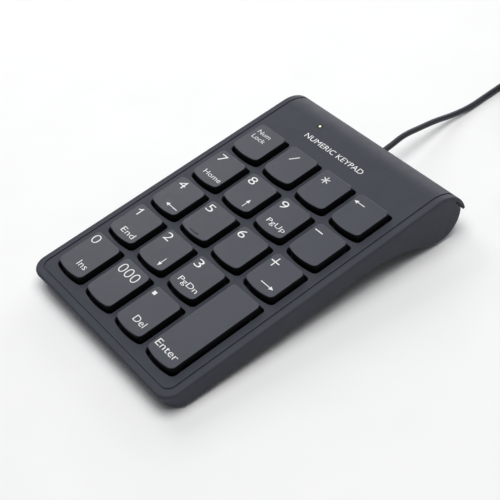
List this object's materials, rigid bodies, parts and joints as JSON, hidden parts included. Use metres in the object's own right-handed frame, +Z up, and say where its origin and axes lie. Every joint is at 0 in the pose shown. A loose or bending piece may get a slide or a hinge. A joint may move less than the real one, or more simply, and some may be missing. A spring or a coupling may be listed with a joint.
{
  "type": "numeric keypad",
  "caption": "Slim wired numeric keypad with a sloping deck of scissor-switch keys, a rolled rear foot and a USB cable.",
  "frame": {"origin": "bottom centre of the keypad's box as it stands on its feet, without its cable", "axes": "+X to the user's right, +Y away from the user along the keypad's length, +Z up; the deck slopes 5.5 degrees up towards the back"},
  "size_m": [0.0912, 0.2427, 0.0201],
  "materials": {
    "case_plastic": "fine spark texture, dark charcoal",
    "key_plastic": "matt moulded, dark grey",
    "scissor_plastic": "smooth acetal",
    "steel": "zinc plated sheet",
    "coated_steel": "black coated sheet",
    "film": "printed polyester film",
    "dome_rubber": "soft silicone",
    "foot_rubber": "matt",
    "board": "solder mask",
    "chip": "moulded epoxy",
    "led": "lit lens",
    "clear_plastic": "polished",
    "screw_steel": "black zinc",
    "cable_jacket": "matt PVC",
    "plug_plastic": "matt overmould",
    "shell_metal": "nickel plated",
    "tongue_plastic": "white insulator",
    "tie_plastic": "black strap"
  },
  "bodies": {
    "casing": {"bottom_case": "case_plastic", "top_cover": "case_plastic", "base_plate": "coated_steel", "membrane_sheet": "film", "rubber_domes": "dome_rubber", "controller_pcb": "board", "controller_chip": "chip", "status_led": "led", "led_light_pipe": "clear_plastic", "case_screws": "screw_steel", "pcb_screws": "screw_steel", "rubber_feet": "foot_rubber", "cable_grommet": "cable_jacket", "cable_inner_lead": "cable_jacket", "usb_cable": "cable_jacket", "usb_cable_coil": "cable_jacket", "usb_cable_tail": "cable_jacket", "cable_tie": "tie_plastic", "usb_plug_body": "plug_plastic", "usb_plug_shell": "shell_metal", "usb_plug_tongue": "tongue_plastic", "scissor_num_lock": "scissor_plastic", "scissor_divide": "scissor_plastic", "scissor_multiply": "scissor_plastic", "scissor_backspace": "scissor_plastic", "scissor_7": "scissor_plastic", "scissor_8": "scissor_plastic", "scissor_9": "scissor_plastic", "scissor_minus": "scissor_plastic", "scissor_4": "scissor_plastic", "scissor_5": "scissor_plastic", "scissor_6": "scissor_plastic", "scissor_plus": "scissor_plastic", "scissor_1": "scissor_plastic", "scissor_2": "scissor_plastic", "scissor_3": "scissor_plastic", "scissor_enter": "scissor_plastic", "scissor_0": "scissor_plastic", "scissor_000": "scissor_plastic", "scissor_decimal": "scissor_plastic"},
    "key_num_lock": {"key_num_lock": "key_plastic"},
    "key_divide": {"key_divide": "key_plastic"},
    "key_multiply": {"key_multiply": "key_plastic"},
    "key_backspace": {"key_backspace": "key_plastic"},
    "key_7": {"key_7": "key_plastic"},
    "key_8": {"key_8": "key_plastic"},
    "key_9": {"key_9": "key_plastic"},
    "key_minus": {"key_minus": "key_plastic"},
    "key_4": {"key_4": "key_plastic"},
    "key_5": {"key_5": "key_plastic"},
    "key_6": {"key_6": "key_plastic"},
    "key_plus": {"key_plus": "key_plastic"},
    "key_1": {"key_1": "key_plastic"},
    "key_2": {"key_2": "key_plastic"},
    "key_3": {"key_3": "key_plastic"},
    "key_enter": {"key_enter": "key_plastic"},
    "key_0": {"key_0": "key_plastic"},
    "key_000": {"key_000": "key_plastic"},
    "key_decimal": {"key_decimal": "key_plastic"},
    "enter_stabiliser": {"enter_stabiliser_wire": "steel"}
  },
  "joints": [
    {"name": "press_num_lock", "type": "slide", "parent": "casing", "child": "key_num_lock", "axis": [0, 0.0958, -0.9954], "range_m": [0, 0.0022], "stiffness_N_per_m": 200, "springref_m": -0.0016, "deforming": ["scissor_num_lock"]},
    {"name": "press_divide", "type": "slide", "parent": "casing", "child": "key_divide", "axis": [0, 0.0958, -0.9954], "range_m": [0, 0.0022], "stiffness_N_per_m": 200, "springref_m": -0.0016, "deforming": ["scissor_divide"]},
    {"name": "press_multiply", "type": "slide", "parent": "casing", "child": "key_multiply", "axis": [0, 0.0958, -0.9954], "range_m": [0, 0.0022], "stiffness_N_per_m": 200, "springref_m": -0.0016, "deforming": ["scissor_multiply"]},
    {"name": "press_backspace", "type": "slide", "parent": "casing", "child": "key_backspace", "axis": [0, 0.0958, -0.9954], "range_m": [0, 0.0022], "stiffness_N_per_m": 200, "springref_m": -0.0016, "deforming": ["scissor_backspace"]},
    {"name": "press_7", "type": "slide", "parent": "casing", "child": "key_7", "axis": [0, 0.0958, -0.9954], "range_m": [0, 0.0022], "stiffness_N_per_m": 200, "springref_m": -0.0016, "deforming": ["scissor_7"]},
    {"name": "press_8", "type": "slide", "parent": "casing", "child": "key_8", "axis": [0, 0.0958, -0.9954], "range_m": [0, 0.0022], "stiffness_N_per_m": 200, "springref_m": -0.0016, "deforming": ["scissor_8"]},
    {"name": "press_9", "type": "slide", "parent": "casing", "child": "key_9", "axis": [0, 0.0958, -0.9954], "range_m": [0, 0.0022], "stiffness_N_per_m": 200, "springref_m": -0.0016, "deforming": ["scissor_9"]},
    {"name": "press_minus", "type": "slide", "parent": "casing", "child": "key_minus", "axis": [0, 0.0958, -0.9954], "range_m": [0, 0.0022], "stiffness_N_per_m": 200, "springref_m": -0.0016, "deforming": ["scissor_minus"]},
    {"name": "press_4", "type": "slide", "parent": "casing", "child": "key_4", "axis": [0, 0.0958, -0.9954], "range_m": [0, 0.0022], "stiffness_N_per_m": 200, "springref_m": -0.0016, "deforming": ["scissor_4"]},
    {"name": "press_5", "type": "slide", "parent": "casing", "child": "key_5", "axis": [0, 0.0958, -0.9954], "range_m": [0, 0.0022], "stiffness_N_per_m": 200, "springref_m": -0.0016, "deforming": ["scissor_5", "rubber_domes"]},
    {"name": "press_6", "type": "slide", "parent": "casing", "child": "key_6", "axis": [0, 0.0958, -0.9954], "range_m": [0, 0.0022], "stiffness_N_per_m": 200, "springref_m": -0.0016, "deforming": ["scissor_6"]},
    {"name": "press_plus", "type": "slide", "parent": "casing", "child": "key_plus", "axis": [0, 0.0958, -0.9954], "range_m": [0, 0.0022], "stiffness_N_per_m": 200, "springref_m": -0.0016, "deforming": ["scissor_plus"]},
    {"name": "press_1", "type": "slide", "parent": "casing", "child": "key_1", "axis": [0, 0.0958, -0.9954], "range_m": [0, 0.0022], "stiffness_N_per_m": 200, "springref_m": -0.0016, "deforming": ["scissor_1"]},
    {"name": "press_2", "type": "slide", "parent": "casing", "child": "key_2", "axis": [0, 0.0958, -0.9954], "range_m": [0, 0.0022], "stiffness_N_per_m": 200, "springref_m": -0.0016, "deforming": ["scissor_2"]},
    {"name": "press_3", "type": "slide", "parent": "casing", "child": "key_3", "axis": [0, 0.0958, -0.9954], "range_m": [0, 0.0022], "stiffness_N_per_m": 200, "springref_m": -0.0016, "deforming": ["scissor_3"]},
    {"name": "press_enter", "type": "slide", "parent": "casing", "child": "key_enter", "axis": [0, 0.0958, -0.9954], "range_m": [0, 0.0022], "stiffness_N_per_m": 260, "springref_m": -0.0016, "deforming": ["scissor_enter"]},
    {"name": "press_0", "type": "slide", "parent": "casing", "child": "key_0", "axis": [0, 0.0958, -0.9954], "range_m": [0, 0.0022], "stiffness_N_per_m": 200, "springref_m": -0.0016, "deforming": ["scissor_0"]},
    {"name": "press_000", "type": "slide", "parent": "casing", "child": "key_000", "axis": [0, 0.0958, -0.9954], "range_m": [0, 0.0022], "stiffness_N_per_m": 200, "springref_m": -0.0016, "deforming": ["scissor_000"]},
    {"name": "press_decimal", "type": "slide", "parent": "casing", "child": "key_decimal", "axis": [0, 0.0958, -0.9954], "range_m": [0, 0.0022], "stiffness_N_per_m": 200, "springref_m": -0.0016, "deforming": ["scissor_decimal"]},
    {"name": "enter_stabiliser_hinge", "type": "hinge", "parent": "casing", "child": "enter_stabiliser", "pos_m": [0.035, -0.03851, 0.00729], "axis": [0, 0.9954, 0.0958], "range_deg": [-17.78, 0.5]}
  ],
  "couplings": [
    {"joint": "enter_stabiliser_hinge", "follows": "press_enter", "rad_per_m": -133.13}
  ]
}
